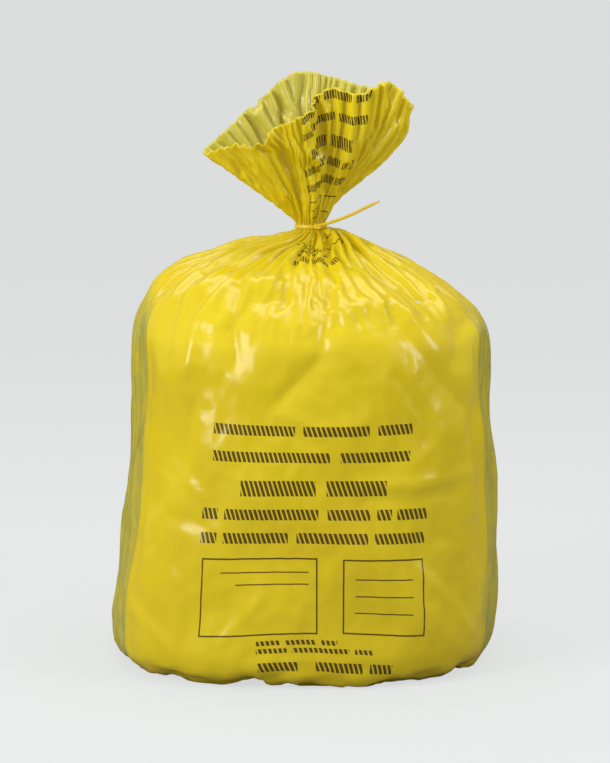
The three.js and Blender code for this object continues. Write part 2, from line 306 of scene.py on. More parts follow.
def flareDepth(angles):
    degrees = np.degrees(angles)
    total = 0
    for middle, width, depth in flareFolds:
        away = (degrees - middle + 180) % 360 - 180
        total = total + depth * np.exp(-((away / width) ** 2))
    return total


# Dents where the base's edge folds under: angle, width in degrees, depth.
dents = [
    (196, 7, 5), (214, 5, -3), (232, 8, 5), (262, 6, 3), (283, 5, -3), (300, 7, 4), (321, 9, 6), (345, 6, -3),
    (20, 8, 4), (60, 6, -3), (95, 8, 4), (130, 7, 5), (160, 6, -3),
]


def baseDents(share, angles):
    degrees = np.degrees(angles)
    total = 0
    for middle, width, depth in dents:
        away = (degrees - middle + 180) % 360 - 180
        total = total - depth * np.exp(-((away / width) ** 2))
    return total[None, :] * np.exp(-(((share - 0.193) / 0.018) ** 2))


# The film turns about the neck by so many degrees between two lengths, so the print shows on the right lobe.
twist = {"degrees": 42.0, "from": 0.735, "to": 0.865}


def twisted(grid, share):
    turn = smoothStep(share, twist["from"], twist["to"]) * twist["degrees"] / 360 * film["columns"]
    out = np.empty_like(grid)
    for row, shift in enumerate(turn):
        whole = int(math.floor(shift))
        part = shift - whole
        here, onward = (np.roll(grid[row], -whole - step, axis=0) for step in (0, 1))
        out[row] = here * (1 - part) + onward * part
    return out


def surfaceNormals(grid):
    around = np.roll(grid, -1, axis=1) - np.roll(grid, 1, axis=1)
    along = np.gradient(grid, axis=0)
    normal = np.cross(around, along)
    return normal / np.maximum(np.linalg.norm(normal, axis=2, keepdims=True), 1e-9)


def smoothNoise(rng, shape, wavesAround, wavesAlong):
    # Random bumps, seamless round the bag, with about so many waves each way.
    rows, columns = shape
    field = rng.standard_normal((rows * 2, columns))
    fy = np.fft.fftfreq(rows * 2)[:, None] * rows * 2
    fx = np.fft.fftfreq(columns)[None, :] * columns
    weight = np.exp(-((np.abs(fx) / wavesAround) ** 2) - (np.abs(fy) / (2 * wavesAlong)) ** 2)
    weight[0, 0] = 0
    field = np.real(np.fft.ifft2(np.fft.fft2(field) * weight))[:rows]
    return field / field.std()


def makeLinks(rest, grid):
    # Index pairs with their rest lengths, grouped so that no point is in a group twice, and how strongly each
    # pair pulls together and pushes apart.
    rows, columns = grid.shape[:2]
    index = np.arange(rows * columns).reshape(rows, columns)
    right = np.roll(index, -1, axis=1)
    links = []

    def add(first, second, lengths, pull, push):
        links.append((first.ravel(), second.ravel(), lengths.ravel(), pull, push))

    around, along, slantUp, slantDown = rest
    for parity in (0, 1):
        add(index[:, parity::2], right[:, parity::2], around[:, parity::2], 1.0, 0.7)
        add(index[parity:-1:2], index[parity + 1::2], along[parity::2], 1.0, 0.7)
        add(index[parity:-1:2], right[parity + 1::2], slantUp[parity::2], 0.7, 0.3)
        add(right[parity:-1:2], index[parity + 1::2], slantDown[parity::2], 0.7, 0.3)
    twoRight = np.roll(index, -2, axis=1)
    twoAround = around + np.roll(around, -1, axis=1)
    twoAlong = along[:-1] + along[1:]
    for start in (0, 2):
        pick = [i for i in range(columns) if i % 4 in (start, start + 1)]
        add(index[:, pick], twoRight[:, pick], twoAround[:, pick] * 0.9, 0.0, 0.35)
        pick = [j for j in range(rows - 2) if j % 4 in (start, start + 1)]
        add(index[pick], index[[j + 2 for j in pick]], twoAlong[pick] * 0.93, 0.0, 0.35)
    return links


def relax(grid, target, normal, links, low, high, hold, passes):
    # Lets the film find its length: it buckles where it has more than the smooth target needs.
    flat = grid.reshape(-1, 3).copy()
    targetFlat, normalFlat = target.reshape(-1, 3), normal.reshape(-1, 3)
    lowFlat, highFlat, holdFlat = low.ravel(), high.ravel(), hold.ravel()[:, None]
    for _ in range(passes):
        for first, second, rest, pull, push in links:
            gap = flat[second] - flat[first]
            length = np.sqrt(np.einsum("ij,ij->i", gap, gap)) + 1e-9
            strain = (length - rest) / length
            move = gap * (np.where(strain > 0, pull, push) * 0.5 * strain)[:, None]
            flat[first] += move
            flat[second] -= move
        away = flat - targetFlat
        lift = np.einsum("ij,ij->i", away, normalFlat)
        wanted = np.clip(lift, lowFlat, highFlat)
        flat += normalFlat * ((wanted - lift) * 0.5)[:, None]
        flat -= (away - normalFlat * lift[:, None]) * holdFlat
    return flat.reshape(grid.shape)


# Zones along the film, as shares of its length, over which each begins or ends.
zones = {
    "baseEnd": (0.17, 0.2),
    "sideStart": (0.2, 0.23),
    "sideEnd": (0.58, 0.64),
    "shoulderStart": (0.58, 0.66),
    "shoulderEnd": (0.79, 0.81),
    "neckStart": (0.7, 0.785),
    "flareStart": (0.81, 0.84),
    "baseEdge": (0.2, 0.022),  # middle and width of the crumpled edge
}

# Spare film round the bag in each zone, as a share of the smooth form's girth, and the least anywhere.
spare = {"base": 1.5, "gusset": 0.3, "side": 0.005, "shoulder": 0.16, "neck": 0.8, "flare": 0.5, "least": 0.005}

# Gussets: their width and how far the single film reaches from a side's middle, as shares of the girth, and
# the ridge in mm that its edge raises.
gussets = {"width": 0.045, "reachLeft": 0.086, "reachRight": 0.077, "ridge": 1.4, "ridgeWidth": 0.004}


def makeFilmGrid():
    rng = np.random.default_rng(film["seed"])
    angles = columnAngles()
    lower, upper = targetRings(angles)
    lengths = rowLengths()
    below = lengths[lengths < film["neckLength"]]
    above = lengths[lengths >= film["neckLength"]]
    rows = [
        alongColumns(lower, (below - below[0]) / (film["neckLength"] - 2 - below[0])),
        alongColumns(upper, (above - film["neckLength"]) / (film["flatLength"] - film["neckLength"])),
    ]
    target = np.concatenate(rows)
    count = len(lengths)
    share = (lengths / film["flatLength"])[:, None]
    column = (np.arange(film["columns"]) / film["columns"])[None, :]
    shape = (count, film["columns"])
    fromSide = np.abs(np.abs(column - 0.5) - 0.25)
    gusset = np.exp(-((fromSide / gussets["width"]) ** 2))
    onBase = 1 - smoothStep(share, *zones["baseEnd"])
    onSide = smoothStep(share, *zones["sideStart"]) * (1 - smoothStep(share, *zones["sideEnd"]))
    onShoulder = smoothStep(share, *zones["shoulderStart"]) * (1 - smoothStep(share, *zones["shoulderEnd"]))
    onFlare = smoothStep(share, *zones["flareStart"])
    nearNeck = smoothStep(share, *zones["neckStart"]) * (1 - onFlare)

    smooth = target
    normal = surfaceNormals(target)
    soft = smoothNoise(rng, shape, 24, 18)
    marginReach = np.where(column < 0.5, gussets["reachLeft"], gussets["reachRight"])
    marginRidge = np.exp(-(((fromSide - marginReach) / gussets["ridgeWidth"]) ** 2))
    swell = (0.3 * onSide + 0.4 * onShoulder) * soft
    swell = swell + gussets["ridge"] * onSide * marginRidge
    swell = swell + (1 - onFlare) * foldDepth(target, fineCreases, -1, 0.5)
    swell = swell + (1 - onFlare) * swellDepth(angles, target[..., 2] / body["neckHeight"])
    mainFolds = foldDepth(target, frontFolds, -1, 0.65) + foldDepth(target, backFolds, 1, 0.65)
    swell = swell + (1 - onFlare) * mainFolds
    upFlare = np.clip((share - 0.81) / 0.19, 0, 1)
    frontCreases = foldDepth(target, flareCreases, -1, 0.15) * smoothStep(-np.sin(angles), 0, 0.4)
    creases = smoothStep(upFlare, 0.05, 0.3) * frontCreases
    swell = swell + onFlare * (upFlare * flareDepth(angles)[None, :] + creases)
    swell = swell + baseDents(share, angles)
    edgeMiddle, edgeWidth = zones["baseEdge"]
    baseEdge = np.exp(-(((share - edgeMiddle) / edgeWidth) ** 2))
    swell = swell + 2.2 * baseEdge * smoothNoise(rng, shape, 34, 22)
    target = twisted(target + normal * swell[..., None], share[:, 0])
    normal = surfaceNormals(target)

    # How much longer the film is than the smooth target, round the bag and along it.
    around = np.roll(target, -1, axis=1) - target
    needed = film["flatGirth"] / np.linalg.norm(around, axis=2).sum(axis=1)[:, None] - 1
    most = spare["base"] * onBase + onSide * (spare["gusset"] * gusset + spare["side"])
    most = most + spare["shoulder"] * onShoulder + spare["neck"] * nearNeck + spare["flare"] * onFlare
    extraAround = np.minimum(np.maximum(needed, spare["gusset"] * gusset * onSide), most) + spare["least"]
    extraAlong = 0.006 - 0.002 * onSide + 0.015 * onShoulder + 0.03 * onFlare + 0.2 * onBase
    along = target[1:] - target[:-1]
    aroundRest = np.linalg.norm(around, axis=2) * (1 + extraAround)
    alongRest = np.linalg.norm(along, axis=2) * (1 + (extraAlong[1:] + extraAlong[:-1]) / 2)
    lean = np.einsum("rci,rci->rc", around[:-1], along)
    lean /= np.linalg.norm(around[:-1], axis=2) * np.linalg.norm(along, axis=2)
    widest = aroundRest[:-1]
    squares = widest**2 + alongRest**2
    slantUp = np.sqrt(squares + 2 * widest * alongRest * lean)
    slantDown = np.sqrt(squares - 2 * widest * alongRest * lean)
    links = makeLinks((aroundRest, alongRest, slantUp, slantDown), target)

    # The first ripples: pleats that run up the shoulder and the flare, fine crumples at the neck and the base.
    pleats = smoothNoise(rng, shape, 26, 2.2)
    finePleats = smoothNoise(rng, shape, 60, 5)
    crumple = smoothNoise(rng, shape, 50, 40)
    ripple = 0.25 * crumple + onShoulder * (0.5 * pleats + 0.5 * finePleats)
    ripple = ripple + nearNeck * (0.8 * pleats + finePleats)
    ripple = ripple + onFlare * (1.5 * pleats + 0.6 * finePleats) + onBase * (3.5 * finePleats - 4)
    sideCrumple = smoothNoise(rng, shape, 40, 14)
    gussetPleats = smoothNoise(rng, shape, 34, 3)
    ripple = ripple + onSide * (0.35 * sideCrumple + 1.5 * gusset * gussetPleats)
    start = target + normal * ripple[..., None]
    low = -(0.5 + 3 * onSide * gusset + 2.5 * onShoulder + 1.5 * nearNeck + 4 * onFlare + 11 * onBase)
    high = 2 + 4 * onSide * gusset + 1.5 * onShoulder + 2 * nearNeck + 3 * onFlare - 1.7 * onBase
    hold = 0.02 + 0.02 * onSide
    low, high, hold = (np.broadcast_to(value, shape).copy() for value in (low, high, hold))
    pinned = (lengths > 797) & (lengths < 804)
    low[pinned], high[pinned], hold[pinned] = -0.8, 0.6, 0.2
    grid = relax(start, target, normal, links, low, high, hold, film["passes"])
    grid[..., 2] = np.maximum(grid[..., 2], film["wall"])
    # Mask for the painted see-through light: film near each side's edge, with no contents behind it, is painted
    # the greyer olive of the backdrop's light coming through one layer.
    wander = 0.004 * smoothNoise(rng, shape, 6, 9)
    paintedSeeThrough = (1 - smoothStep(fromSide + wander - marginReach, -0.009, 0.003)) * onSide
    return grid, lengths, smooth, paintedSeeThrough, onFlare * np.ones(shape)


grid, filmLengths, smoothTarget, filmPaintedSeeThrough, filmFlare = makeFilmGrid()
print("stage: film relaxed")


def gridMesh(name, grid, closeTop):
    # A tube of quads round the grid's columns, its foot closed by a fan and its top too if asked.
    rows, columns = grid.shape[:2]
    points = [grid.reshape(-1, 3), grid[0].mean(axis=0)[None], grid[-1].mean(axis=0)[None]]
    centre, crown = rows * columns, rows * columns + 1
    faces = []
    for i in range(columns):
        nextColumn = (i + 1) % columns
        faces.append((centre, nextColumn, i))
        for j in range(rows - 1):
            a, b = j * columns + i, j * columns + nextColumn
            faces.append((a, b, b + columns, a + columns))
        if closeTop:
            faces.append((crown, centre - columns + i, centre - columns + nextColumn))
    vertices = np.concatenate(points if closeTop else points[:2]) * mm
    mesh = bpy.data.meshes.new(name)
    mesh.from_pydata(vertices.tolist(), [], faces)
    mesh.polygons.foreach_set("use_smooth", [True] * len(mesh.polygons))
    obj = bpy.data.objects.new(name, mesh)
    scene.collection.objects.link(obj)
    return obj


def flatUnwrap(obj, rows, columns, lengths):
    # The film's own flat coordinates in metres: round the tube from the middle of the back, and up from the
    # base.
    mesh = obj.data
    uvLayer = mesh.uv_layers.new(name="filmFlat")
    girth = film["flatGirth"] * mm
    centre = rows * columns
    for polygon in mesh.polygons:
        column = polygon.index // rows
        for corner in polygon.loop_indices:
            vertex = mesh.loops[corner].vertex_index
            if vertex == centre:
                uvLayer.data[corner].uv = ((column + 0.5) / columns * girth, 0)
                continue
            place = vertex % columns
            if column == columns - 1 and place == 0:
                place = columns
            uvLayer.data[corner].uv = (place / columns * girth, lengths[vertex // columns] * mm)


def applyModifiers(obj):
    graph = bpy.context.evaluated_depsgraph_get()
    mesh = bpy.data.meshes.new_from_object(obj.evaluated_get(graph))
    obj.modifiers.clear()
    obj.data = mesh


def pointValues(obj, name, values):
    attribute = obj.data.attributes.new(name, "FLOAT", "POINT")
    attribute.data.foreach_set("value", np.asarray(values, dtype=np.float32))


sack = gridMesh("filmSack", grid, False)
flatUnwrap(sack, *grid.shape[:2], filmLengths)
# The mask where the see-through light is painted.
pointValues(sack, "paintedSeeThrough", np.append(filmPaintedSeeThrough.ravel(), 0))
# The flare's mask, where paler and greyer colours paint light passing through the bare film.
pointValues(sack, "flare", np.append(filmFlare.ravel(), 0))
for name in ("film", "filmInside"):
    sack.data.materials.append(bpy.data.materials.new(name))
wall = sack.modifiers.new("wall", "SOLIDIFY")
wall.thickness = film["wall"] * mm
wall.offset = -1
wall.material_offset = 1
applyModifiers(sack)
print("stage: film meshed", len(sack.data.polygons))

# Contents: what fills the sack, a soft heap a little inside the film.
contents = {
    "inset": 7.0,
    "gussetInset": 8.0,
    "foot": 14.0,
    "topLength": 640.0,
    "lump": 4.0,
    "lumpWaves": 7,
    "seed": 5,
}


def makeContents():
    inside = filmLengths < contents["topLength"]
    shape = smoothTarget[inside]
    normal = surfaceNormals(shape)
    rng = np.random.default_rng(contents["seed"])
    lumps = smoothNoise(rng, shape.shape[:2], contents["lumpWaves"], contents["lumpWaves"])
    column = np.arange(film["columns"]) / film["columns"]
    fromSide = np.abs(np.abs(column - 0.5) - 0.25)
    depth = contents["inset"] + contents["lump"] * np.clip(lumps, 0, 2)
    depth = depth + contents["gussetInset"] * np.exp(-((fromSide / 0.07) ** 2))
    heap = shape - normal * depth[..., None]
    heap[..., 2] = np.maximum(heap[..., 2], contents["foot"])
    closing = np.linspace(1, 0, 12)[1:-1, None, None] ** 0.8
    middle = heap[-1].mean(axis=0)
    cap = middle + (heap[-1] - middle) * closing
    cap[..., 2] += 14 * (1 - closing[..., 0]) ** 0.7
    return gridMesh("contentsHeap", np.concatenate([heap[::2, ::2], cap[:, ::2]]), True)


heapObject = makeContents()


def newMaterial(name):
    material = bpy.data.materials.new(name)
    material.use_nodes = True
    return material, material.node_tree, material.node_tree.nodes["Principled BSDF"]


def addNode(tree, kind, **settings):
    node = tree.nodes.new(kind)
    for name, value in settings.items():
        setattr(node, name, value)
    return node


def mathNode(tree, operation, *values):
    node = addNode(tree, "ShaderNodeMath", operation=operation)
    for socket, value in zip(node.inputs, values):
        if isinstance(value, bpy.types.NodeSocket):
            tree.links.new(value, socket)
        else:
            socket.default_value = value
    return node.outputs[0]


def mixColour(tree, share, first, second, blend="MIX"):
    node = addNode(tree, "ShaderNodeMix", data_type="RGBA", blend_type=blend)
    for socket, value in ((node.inputs[0], share), (node.inputs[6], first), (node.inputs[7], second)):
        if isinstance(value, bpy.types.NodeSocket):
            tree.links.new(value, socket)
        else:
            socket.default_value = value
    return node.outputs[2]


def nodeGroup(name, inputs, outputs):
    # A shader group with named sockets: each input is (name, type, value).
    group = bpy.data.node_groups.new(name, "ShaderNodeTree")
    for socketName, kind, value in inputs:
        socket = group.interface.new_socket(socketName, in_out="INPUT", socket_type=kind)
        if value is not None:
            socket.default_value = value
    for socketName, kind in outputs:
        group.interface.new_socket(socketName, in_out="OUTPUT", socket_type=kind)
    return group, group.nodes.new("NodeGroupInput"), group.nodes.new("NodeGroupOutput")


# Print: rows of hatched bars and two ruled panels, in metres of flat film, measured across from the front's
# middle. A row is its middle height, how tall it is, and where its bars begin and end.
printed = {
    "repeat": 0.495,
    "frontMiddle": 0.711,
    "bars": [
        (0.487, 0.0112, ((-0.112, -0.012), (-0.002, 0.073), (0.083, 0.124))),
        (0.458, 0.0112, ((-0.112, 0.028), (0.04, 0.12))),
        (0.424, 0.017, ((-0.077, 0.012), (0.024, 0.092))),
        (0.395, 0.0118, ((-0.125, -0.105), (-0.097, 0.015), (0.025, 0.073), (0.081, 0.098), (0.104, 0.14))),
        (0.369, 0.0118, ((-0.125, -0.105), (-0.097, -0.02), (-0.01, 0.07), (0.078, 0.138))),
        (0.2515, 0.0055, ((-0.054, -0.028), (-0.022, 0.012), (0.018, 0.036))),
        (0.2425, 0.0055, ((-0.054, -0.02), (-0.014, 0.05), (0.056, 0.076))),
        (0.2236, 0.0115, ((-0.052, -0.008), (0.012, 0.066), (0.074, 0.1))),
    ],
    "frames": [
        (-0.121, 0.014, 0.2605, 0.347),
        (0.042, 0.136, 0.262, 0.3465),
    ],
    "rules": [
        (0.331, -0.098, 0.004),
        (0.3175, -0.08, 0.004),
        (0.324, 0.056, 0.122),
        (0.305, 0.056, 0.122),
        (0.286, 0.056, 0.122),
    ],
    "line": 0.0014,
}


def printGroup():
    group, given, result = nodeGroup(
        "printMask",
        [("U", "NodeSocketFloat", 0), ("V", "NodeSocketFloat", 0), ("Slant", "NodeSocketFloat", 0.35),
         ("Pitch", "NodeSocketFloat", 0.0056)],
        [("Ink", "NodeSocketFloat")],
    )
    u = mathNode(group, "SUBTRACT", given.outputs["U"], printed["frontMiddle"])
    v = mathNode(group, "MODULO", given.outputs["V"], printed["repeat"])

    def within(value, low, high):
        away = mathNode(group, "ABSOLUTE", mathNode(group, "SUBTRACT", value, (low + high) / 2))
        return mathNode(group, "LESS_THAN", away, (high - low) / 2)

    def block(low, high, bottom, top):
        return mathNode(group, "MULTIPLY", within(u, low, high), within(v, bottom, top))

    leaning = mathNode(group, "MULTIPLY_ADD", v, given.outputs["Slant"], u)
    stripes = mathNode(group, "FRACT", mathNode(group, "DIVIDE", leaning, given.outputs["Pitch"]))
    stripes = mathNode(group, "LESS_THAN", stripes, 0.66)
    total = None
    for middle, tall, spans in printed["bars"]:
        across = within(u, *spans[0])
        for low, high in spans[1:]:
            across = mathNode(group, "MAXIMUM", across, within(u, low, high))
        row = mathNode(group, "MULTIPLY", across, within(v, middle - tall / 2, middle + tall / 2))
        total = row if total is None else mathNode(group, "MAXIMUM", total, row)
    total = mathNode(group, "MULTIPLY", total, stripes)
    line = printed["line"]
    for low, high, bottom, top in printed["frames"]:
        outer = block(low, high, bottom, top)
        inner = block(low + line * 1.3, high - line * 1.3, bottom + line * 1.3, top - line * 1.3)
        total = mathNode(group, "MAXIMUM", total, mathNode(group, "SUBTRACT", outer, inner))
    for height, low, high in printed["rules"]:
        total = mathNode(group, "MAXIMUM", total, block(low, high, height - line / 2, height + line / 2))
    group.links.new(total, result.inputs["Ink"])
    return group


filmLook = {
    "yellow": (0.86, 0.68, 0.012, 1),
    "deep": (0.74, 0.53, 0.006, 1),
    # Painted see-through light: the greyer olive of a single film layer with the backdrop's light coming
    # through it.
    "paintedSeeThrough": (0.5, 0.45, 0.07, 1),
    # The flare's outside colour is paler than the body's and the inside colour greyer: painted light through
    # the bare film, which has no contents behind it.
    "flare": (0.92, 0.735, 0.012, 1),
    "inside": (0.7, 0.63, 0.09, 1),
    "ink": (0.07, 0.028, 0.006, 1),
    "roughness": 0.2,
    "through": 0.25,
    "swirlScale": 6.5,
    "swirlDepth": 0.0042,
    "creaseScale": 26,
    "creaseDepth": 0.0022,
}


def filmMaterial(name, inside):
    material, tree, shader = newMaterial(name)
    uvMap = addNode(tree, "ShaderNodeUVMap", uv_map="filmFlat")
    split = addNode(tree, "ShaderNodeSeparateXYZ")
    tree.links.new(uvMap.outputs[0], split.inputs[0])
    printer = addNode(tree, "ShaderNodeGroup", node_tree=printGroup())
    tree.links.new(split.outputs[0], printer.inputs["U"])
    tree.links.new(split.outputs[1], printer.inputs["V"])
    place = addNode(tree, "ShaderNodeTexCoord").outputs["Object"]

    def noise(vector, scale, detail, distortion=0.0):
        node = addNode(tree, "ShaderNodeTexNoise")
        tree.links.new(vector, node.inputs["Vector"])
        for name, value in (("Scale", scale), ("Detail", detail), ("Distortion", distortion)):
            node.inputs[name].default_value = value
        return node.outputs[0]

    def ramp(value, low, high):
        node = addNode(tree, "ShaderNodeMapRange", clamp=True)
        tree.links.new(value, node.inputs["Value"])
        node.inputs["From Min"].default_value, node.inputs["From Max"].default_value = low, high
        return node.outputs[0]

    paintedSeeThrough = addNode(tree, "ShaderNodeAttribute", attribute_name="paintedSeeThrough").outputs["Fac"]
    flareMask = addNode(tree, "ShaderNodeAttribute", attribute_name="flare").outputs["Fac"]
    mottle = ramp(noise(place, 9, 4, 0.4), 0.35, 0.72)
    colour = mixColour(tree, mathNode(tree, "MULTIPLY", mottle, 0.55), filmLook["yellow"], filmLook["deep"])
    # Painted light on the flare: its outside is paler and its inside greyer, standing in for light through the
    # bare film.
    colour = mixColour(tree, flareMask, colour, filmLook["inside" if inside else "flare"])
    # Painted see-through light along each side's edge, in mottled patches.
    seeThroughPatches = ramp(noise(place, 34, 5, 0.8), 0.32, 0.66)
    paintedSeeThroughShare = mathNode(tree, "MULTIPLY", paintedSeeThrough, mathNode(tree, "MULTIPLY_ADD", seeThroughPatches, 0.5, 0.45))
    colour = mixColour(tree, paintedSeeThroughShare, colour, filmLook["paintedSeeThrough"])
    inkShare = mathNode(tree, "MULTIPLY", printer.outputs["Ink"], 0.3 if inside else 0.92)
    colour = mixColour(tree, inkShare, colour, filmLook["ink"])
    tree.links.new(colour, shader.inputs["Base Color"])
    smear = ramp(noise(place, 60, 4), 0.3, 0.75)
    roughness = mathNode(tree, "MULTIPLY_ADD", smear, 0.12, filmLook["roughness"] - 0.04)
    tree.links.new(roughness, shader.inputs["Roughness"])
    shader.inputs["IOR"].default_value = 1.5

    stretch = addNode(tree, "ShaderNodeMapping")
    tree.links.new(uvMap.outputs[0], stretch.inputs["Vector"])
    stretch.inputs["Scale"].default_value = (1, 2.4, 1)
    creases = addNode(tree, "ShaderNodeTexNoise", noise_type="RIDGED_MULTIFRACTAL")
    tree.links.new(stretch.outputs[0], creases.inputs["Vector"])
    creaseValues = (("Scale", filmLook["creaseScale"]), ("Detail", 6), ("Roughness", 0.55), ("Distortion", 0.7))
    for name, value in creaseValues:
        creases.inputs[name].default_value = value
    fine = noise(uvMap.outputs[0], 170, 5, 0.3)
    relief = mathNode(tree, "MULTIPLY_ADD", fine, 0.25, mathNode(tree, "MULTIPLY", creases.outputs[0], 0.24))
    # Broad swirls where the film clings and lets go, strongest on the shoulder.
    swirls = addNode(tree, "ShaderNodeTexNoise", noise_type="RIDGED_MULTIFRACTAL")
    tree.links.new(place, swirls.inputs["Vector"])
    swirlValues = (("Scale", filmLook["swirlScale"]), ("Detail", 2.5), ("Roughness", 0.4), ("Distortion", 1.3))
    for name, value in swirlValues:
        swirls.inputs[name].default_value = value
    height = addNode(tree, "ShaderNodeSeparateXYZ")
    tree.links.new(place, height.inputs[0])
    upward = ramp(height.outputs[2], 0.16, 0.36)
    broad = addNode(tree, "ShaderNodeBump")
    broad.inputs["Strength"].default_value = 0.5
    broad.inputs["Distance"].default_value = filmLook["swirlDepth"]
    swirlShare = mathNode(tree, "MULTIPLY_ADD", upward, 0.75, 0.25)
    tree.links.new(mathNode(tree, "MULTIPLY", swirls.outputs[0], swirlShare), broad.inputs["Height"])
    bump = addNode(tree, "ShaderNodeBump")
    bump.inputs["Strength"].default_value = 0.2
    bump.inputs["Distance"].default_value = filmLook["creaseDepth"]
    tree.links.new(broad.outputs[0], bump.inputs["Normal"])
    tree.links.new(relief, bump.inputs["Height"])
    tree.links.new(bump.outputs[0], shader.inputs["Normal"])

    through = addNode(tree, "ShaderNodeBsdfTranslucent")
    tree.links.new(colour, through.inputs["Color"])
    tree.links.new(bump.outputs[0], through.inputs["Normal"])
    mix = addNode(tree, "ShaderNodeMixShader")
    mix.inputs[0].default_value = filmLook["through"]
    tree.links.new(shader.outputs[0], mix.inputs[1])
    tree.links.new(through.outputs[0], mix.inputs[2])
    output = next(node for node in tree.nodes if node.type == "OUTPUT_MATERIAL")
    tree.links.new(mix.outputs[0], output.inputs["Surface"])
    return material


def contentsMaterial():
    material, tree, shader = newMaterial("contents")
    noise = addNode(tree, "ShaderNodeTexNoise")
    tree.links.new(addNode(tree, "ShaderNodeTexCoord").outputs["Object"], noise.inputs["Vector"])
    noise.inputs["Scale"].default_value = 14
    colour = mixColour(tree, noise.outputs[0], (0.42, 0.42, 0.38, 1), (0.72, 0.72, 0.68, 1))
    tree.links.new(colour, shader.inputs["Base Color"])
    shader.inputs["Roughness"].default_value = 0.85
    return material


for slot, (name, inside) in enumerate((("filmOutside", False), ("filmInside", True))):
    sack.data.materials[slot] = filmMaterial(name, inside)
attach(sack, "root")
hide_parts("sack_film")
heapObject.data.materials.append(contentsMaterial())
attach(heapObject, "root")
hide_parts("waste_fill")
print("stage: materials done")

# Cable tie: the strap closed round the neck, its head and its free tail. Sizes in mm.
tie = {
    "strapWidth": 3.6,
    "strapThickness": 1.2,
    "loopRadius": 17.05,  # to the middle of the strap
    "loopSteps": 72,
    "headAngle": -68.0,
    "head": (5.2, 6.2, 5.4),  # outward, along the strap, up
    "tailLength": 72.0,
    "tailRise": 24.0,
    "tailCurl": 4.0,
    "tailSteps": 40,
    "toothPitch": 1.25,
    "toothSize": (0.62, 2.1, 0.32),
    "colour": (0.78, 0.53, 0.012, 1),
}


def tieAxes():
    angle = math.radians(tie["headAngle"])
    outward = np.array((math.cos(angle), math.sin(angle), 0))
    return outward, np.array((-outward[1], outward[0], 0)), np.array((0, 0, 1.0))


def tailLine():
    outward, onward, up = tieAxes()
    neck = np.array((body["neckX"], body["neckY"], body["neckHeight"]))
    start = neck + outward * (tie["loopRadius"] + 2.4) + up * 1.0
    share = np.linspace(0, 1, tie["tailSteps"])[:, None]
    reach = share * tie["tailLength"]
    rise = tie["tailRise"] * share**1.08 - 1.6 * np.sin(share * math.pi * 1.7) * share
    return start + onward * reach + up * rise + outward * tie["tailCurl"] * np.sin(share * 2.4)


def ribbon(name, line, outward, closed, tapered):
    # A strap of rounded section along a line, its width upright.
    half, thick = tie["strapWidth"] / 2, tie["strapThickness"] / 2
    section = [(-thick, -half + 0.3), (-thick + 0.3, -half), (thick - 0.3, -half), (thick, -half + 0.3),
               (thick, half - 0.3), (thick - 0.3, half), (-thick + 0.3, half), (-thick, half - 0.3)]
    count, sides = len(line), len(section)
    points = []
    for k in range(count):
        narrow = 1 - 0.5 * smoothStep(k / (count - 1), 0.86, 1) if tapered else 1
        for across, rise in section:
            points.append(line[k] + outward[k] * across + np.array((0, 0, rise * narrow)))
    faces = []
    for k in range(count if closed else count - 1):
        a, b = k * sides, (k + 1) % count * sides
        for s in range(sides):
            t = (s + 1) % sides
            faces.append((a + s, b + s, b + t, a + t))
    if not closed:
        faces.append(tuple(range(sides)))
        faces.append(tuple(reversed(range((count - 1) * sides, count * sides))))
    mesh = bpy.data.meshes.new(name)
    mesh.from_pydata((np.array(points) * mm).tolist(), [], faces)
    shape = bmesh.new()
    shape.from_mesh(mesh)
    bmesh.ops.recalc_face_normals(shape, faces=shape.faces)
    shape.to_mesh(mesh)
    mesh.polygons.foreach_set("use_smooth", [len(polygon.vertices) == 4 for polygon in mesh.polygons])
    obj = bpy.data.objects.new(name, mesh)
    scene.collection.objects.link(obj)
    return obj


def tieHead():
    outward, onward, up = tieAxes()
    neck = np.array((body["neckX"], body["neckY"], body["neckHeight"]))
    middle = neck + outward * (tie["loopRadius"] + 2.2) + up * 1.0
    shape = bmesh.new()
    bmesh.ops.create_cube(shape, size=1)
    turn = np.array([outward, onward, up]).T
    for vertex in shape.verts:
        local = np.array(vertex.co) * tie["head"]
        vertex.co = (turn @ local + middle) * mm
    # The slot that the strap passes through, sunk into the head's far side.
    shape.faces.ensure_lookup_table()
    far = max(shape.faces, key=lambda face: float(np.dot(np.array(face.normal), onward)))
    inner = bmesh.ops.inset_individual(shape, faces=[far], thickness=0.9 * mm)["faces"]
    for vertex in far.verts:
        vertex.co -= Vector(onward * 0.7 * mm)
    sharp = [edge for edge in shape.edges if not set(edge.link_faces) & set(inner + [far])]
    bmesh.ops.bevel(shape, geom=sharp, offset=0.7 * mm, segments=3, profile=0.6, affect="EDGES")
    mesh = bpy.data.meshes.new("tieHead")
    bmesh.ops.recalc_face_normals(shape, faces=shape.faces)
    shape.to_mesh(mesh)
    obj = bpy.data.objects.new("tieHead", mesh)
    scene.collection.objects.link(obj)
    return obj


